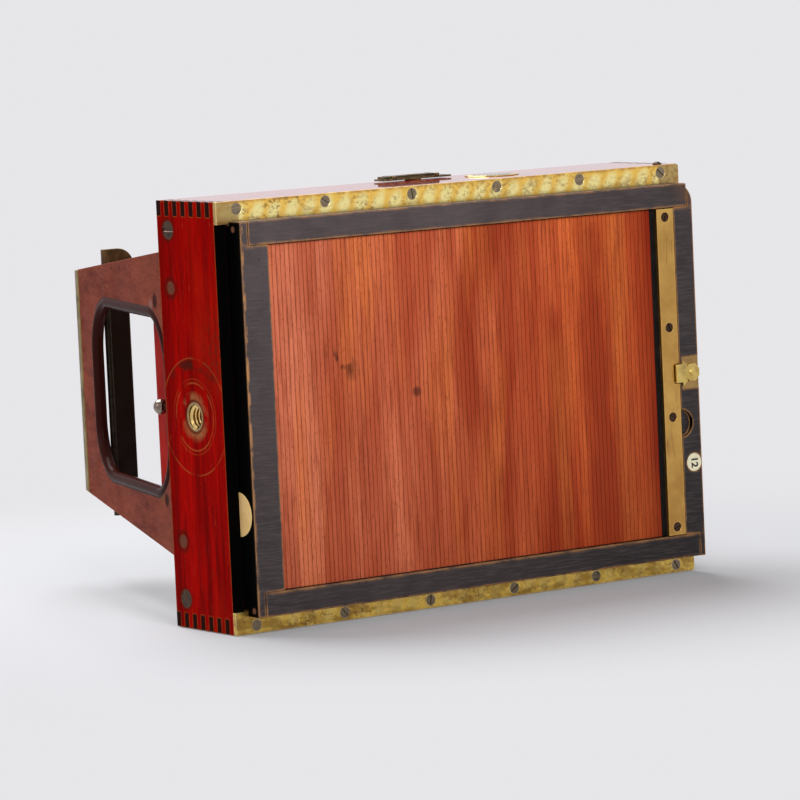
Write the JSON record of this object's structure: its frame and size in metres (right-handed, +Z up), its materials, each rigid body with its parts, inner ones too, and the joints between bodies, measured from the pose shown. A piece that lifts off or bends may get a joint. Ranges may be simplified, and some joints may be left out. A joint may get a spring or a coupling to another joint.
{
  "type": "folding strut camera",
  "caption": "Mahogany folding plate camera with hinged windowed struts, brass rails, tambour plate holder, spirit level, folding finder and tripod bushes.",
  "frame": {"origin": "middle of the footprint, on the face the camera stands on", "axes": "+Y is the way the lens looks, +Z is up, +X is to the right as seen from the plate holder"},
  "size_m": [0.229, 0.2036, 0.1722],
  "materials": {
    "mahogany_polished": "french polished red mahogany",
    "mahogany_cheek": "worn satin mahogany",
    "tambour_wood": "french polished slats",
    "holder_wood": "blackened wood, worn arrises",
    "black_inside": "matt black inside",
    "leather_bellows": "folded dark red leather",
    "brass_rail": "lacquered, spotted and stained",
    "brass_fitting": "aged",
    "brass_bright": "polished",
    "screw_metal": "brown, slotted",
    "plug_wood": "dark plug",
    "black_lacquer": "semi gloss black lacquer",
    "black_sheet": "matt",
    "clear_glass": "clear",
    "lens_glass": "coated by age",
    "ivory": "polished ivory tone"
  },
  "bodies": {
    "camera_body": {"left_side_board": "mahogany_polished", "right_side_board": "mahogany_polished", "top_board": "mahogany_polished", "bottom_board": "mahogany_polished", "top_rail": "brass_rail", "bottom_rail": "brass_rail", "rail_screws": "screw_metal", "side_screws": "screw_metal", "side_plugs": "plug_wood", "side_tripod_bush": "brass_fitting", "bottom_tripod_bush": "brass_fitting", "rear_frame": "black_inside", "bellows": "leather_bellows", "level_ring": "brass_bright", "level_glass": "clear_glass", "left_body_hinges": "brass_fitting", "right_body_hinges": "brass_fitting", "right_hinge_strip": "mahogany_polished", "hinge_pins": "brass_bright", "finder_pivot": "black_lacquer"},
    "catch_pin": {"slide_catch": "screw_metal"},
    "finder": {"finder_bar": "black_lacquer"},
    "finder_front": {"finder_front_leaf": "black_lacquer", "finder_glass": "clear_glass"},
    "finder_rear": {"finder_rear_leaf": "black_lacquer"},
    "left_cheek_body": {"left_cheek": "mahogany_cheek", "left_edging": "brass_fitting", "left_cheek_hinges": "brass_fitting", "left_stretcher": "mahogany_polished", "left_brackets": "brass_fitting"},
    "right_cheek_body": {"right_cheek": "mahogany_cheek", "right_edging": "brass_fitting", "right_cheek_hinges": "brass_fitting", "right_stretcher": "mahogany_polished", "right_brackets": "brass_fitting"},
    "left_plate_body": {"left_front_plate": "black_lacquer"},
    "right_plate_body": {"right_front_plate": "black_lacquer"},
    "left_knob_body": {"left_ball_knob": "brass_bright"},
    "right_knob_body": {"right_ball_knob": "brass_bright"},
    "front_standard": {"front_board": "mahogany_cheek", "lens_flange": "brass_bright", "flange_screws": "screw_metal", "lens_barrel": "brass_bright", "lens_glasses": "lens_glass"},
    "iris": {"iris_ring": "brass_bright"},
    "holder": {"holder_left_stile": "holder_wood", "holder_right_stile": "holder_wood", "holder_top_member": "holder_wood", "holder_bottom_member": "holder_wood", "holder_septum": "black_sheet", "glass_plates": "clear_glass", "rear_tambour": "tambour_wood", "front_tambour": "tambour_wood", "latch_base": "brass_fitting", "ivory_discs": "ivory"},
    "rear_shutter": {"rear_lead_slat": "holder_wood", "pull_bar": "brass_fitting", "pull_bar_screws": "screw_metal"},
    "front_shutter": {"front_lead_slat": "holder_wood"},
    "latch": {"turn_latch": "brass_bright"}
  },
  "joints": [
    {"name": "left_cheek_fold", "type": "hinge", "parent": "camera_body", "child": "left_cheek_body", "pos_m": [-0.10725, -0.06267, 0.086], "axis": [0, 0, -1], "range_deg": [0, 74]},
    {"name": "right_cheek_fold", "type": "hinge", "parent": "camera_body", "child": "right_cheek_body", "pos_m": [0.10438, -0.05267, 0.086], "axis": [0, 0, 1], "range_deg": [0, 74]},
    {"name": "left_plate_turn", "type": "hinge", "parent": "left_cheek_body", "child": "left_plate_body", "pos_m": [-0.06051, 0.08039, 0.086], "axis": [0, 0, 1], "range_deg": [0, 74]},
    {"name": "right_plate_turn", "type": "hinge", "parent": "right_cheek_body", "child": "right_plate_body", "pos_m": [0.06051, 0.08039, 0.086], "axis": [0, 0, -1], "range_deg": [0, 74]},
    {"name": "left_knob_press", "type": "slide", "parent": "left_cheek_body", "child": "left_knob_body", "axis": [0.9613, -0.2756, 0], "range_m": [0, 0.0012], "stiffness_N_per_m": 400},
    {"name": "right_knob_press", "type": "slide", "parent": "right_cheek_body", "child": "right_knob_body", "axis": [-0.9613, -0.2756, 0], "range_m": [0, 0.0012], "stiffness_N_per_m": 400},
    {"name": "front_slide", "type": "slide", "parent": "camera_body", "child": "front_standard", "axis": [0, 1, 0], "range_m": [0, 0.149], "deforming": ["bellows"]},
    {"name": "iris_turn", "type": "hinge", "parent": "front_standard", "child": "iris", "pos_m": [0, -0.05765, 0.086], "axis": [0, 1, 0], "range_deg": [0, 90]},
    {"name": "holder_slide", "type": "slide", "parent": "camera_body", "child": "holder", "axis": [1, 0, 0], "range_m": [0, 0.224]},
    {"name": "rear_shutter_pull", "type": "slide", "parent": "holder", "child": "rear_shutter", "axis": [-1, 0, 0], "range_m": [0, 0.189], "deforming": ["rear_tambour"]},
    {"name": "front_shutter_pull", "type": "slide", "parent": "holder", "child": "front_shutter", "axis": [-1, 0, 0], "range_m": [0, 0.189], "deforming": ["front_tambour"]},
    {"name": "latch_turn", "type": "hinge", "parent": "holder", "child": "latch", "pos_m": [0.1105, -0.10057, 0.0838], "axis": [0, 1, 0], "range_deg": [0, 90]},
    {"name": "catch_pin_push", "type": "slide", "parent": "camera_body", "child": "catch_pin", "axis": [0, 0, -1], "range_m": [0, 0.0009], "stiffness_N_per_m": 300},
    {"name": "finder_swing", "type": "hinge", "parent": "camera_body", "child": "finder", "pos_m": [0.007, -0.05327, 0.17075], "axis": [0, 0, 1], "range_deg": [0, 90]},
    {"name": "finder_front_lift", "type": "hinge", "parent": "finder", "child": "finder_front", "pos_m": [0.0165, -0.05327, 0.17165], "axis": [0, 1, 0], "range_deg": [0, 90]},
    {"name": "finder_rear_lift", "type": "hinge", "parent": "finder", "child": "finder_rear", "pos_m": [-0.0045, -0.05327, 0.17165], "axis": [0, 1, 0], "range_deg": [0, 90]}
  ],
  "couplings": [
    {"joint": "left_plate_turn", "follows": "left_cheek_fold", "ratio": 1},
    {"joint": "right_plate_turn", "follows": "right_cheek_fold", "ratio": 1}
  ]
}
